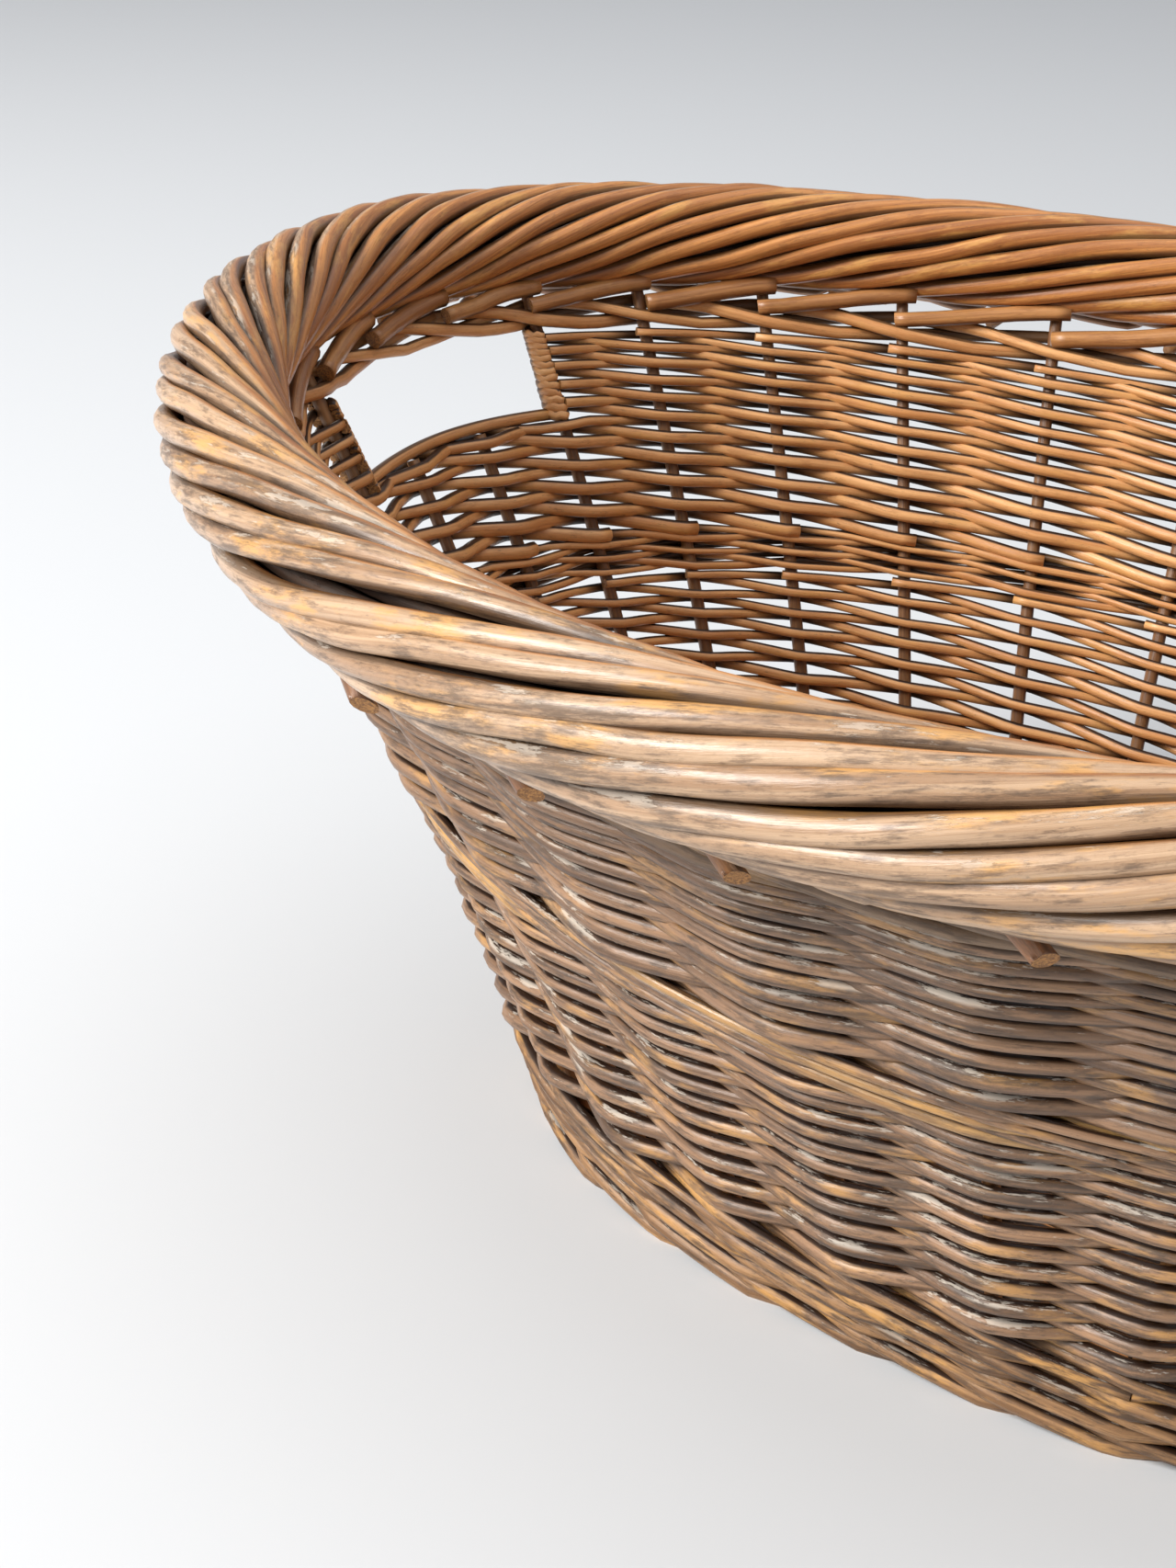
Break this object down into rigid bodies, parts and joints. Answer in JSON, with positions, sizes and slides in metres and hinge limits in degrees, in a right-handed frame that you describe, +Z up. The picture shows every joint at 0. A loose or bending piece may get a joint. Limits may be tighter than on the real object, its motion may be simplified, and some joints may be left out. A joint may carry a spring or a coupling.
{
  "type": "woven laundry basket",
  "caption": "Large oval woven willow basket with flared walls, a thick rolled border and a hand hold through each end.",
  "frame": {"origin": "on the ground under the middle of the oval base, at the bottom centre of the whole basket", "axes": "+X along the basket towards one hand hold, +Y across it, +Z up"},
  "size_m": [0.7178, 0.5556, 0.3075],
  "materials": {
    "border_willow": "varnished round willow rods, straw to tan, with grey-black mildew streaks",
    "core_willow": "dark untreated willow rods inside the border",
    "pale_willow": "thin varnished willow strands, straw to tan",
    "side_willow": "varnished willow rods, weathered grey-brown outside and golden brown inside",
    "foot_willow": "thick willow rods with cut butts, grey-brown and worn",
    "stake_willow": "brown willow stakes with satin bark side",
    "base_willow": "round and split willow sticks and weavers, dull brown"
  },
  "bodies": {
    "root": {"base_weave": "base_willow", "base_long_stick_1": "base_willow", "base_long_stick_2": "base_willow", "base_long_stick_3": "base_willow", "base_cross_stick_1": "base_willow", "base_cross_stick_2": "base_willow", "base_cross_stick_3": "base_willow", "base_cross_stick_4": "base_willow", "base_cross_stick_5": "base_willow", "base_cross_stick_6": "base_willow", "side_stake_01": "stake_willow", "side_stake_02": "stake_willow", "side_stake_03": "stake_willow", "side_stake_04": "stake_willow", "side_stake_05": "stake_willow", "side_stake_06": "stake_willow", "side_stake_07": "stake_willow", "side_stake_08": "stake_willow", "side_stake_09": "stake_willow", "side_stake_10": "stake_willow", "side_stake_11": "stake_willow", "side_stake_12": "stake_willow", "side_stake_13": "stake_willow", "side_stake_14": "stake_willow", "side_stake_15": "stake_willow", "side_stake_16": "stake_willow", "side_stake_17": "stake_willow", "side_stake_18": "stake_willow", "side_stake_19": "stake_willow", "side_stake_20": "stake_willow", "side_stake_21": "stake_willow", "side_stake_22": "stake_willow", "side_stake_23": "stake_willow", "side_stake_24": "stake_willow", "side_stake_25": "stake_willow", "side_stake_26": "stake_willow", "side_stake_27": "stake_willow", "side_stake_28": "stake_willow", "side_stake_29": "stake_willow", "side_stake_30": "stake_willow", "upsett_wale": "foot_willow", "lower_siding": "side_willow", "middle_wale": "pale_willow", "upper_siding": "side_willow", "top_wale": "pale_willow", "hand_hold_sill_right": "pale_willow", "hand_hold_sill_left": "pale_willow", "border_core": "core_willow", "border_roll": "border_willow"}
  },
  "joints": []
}
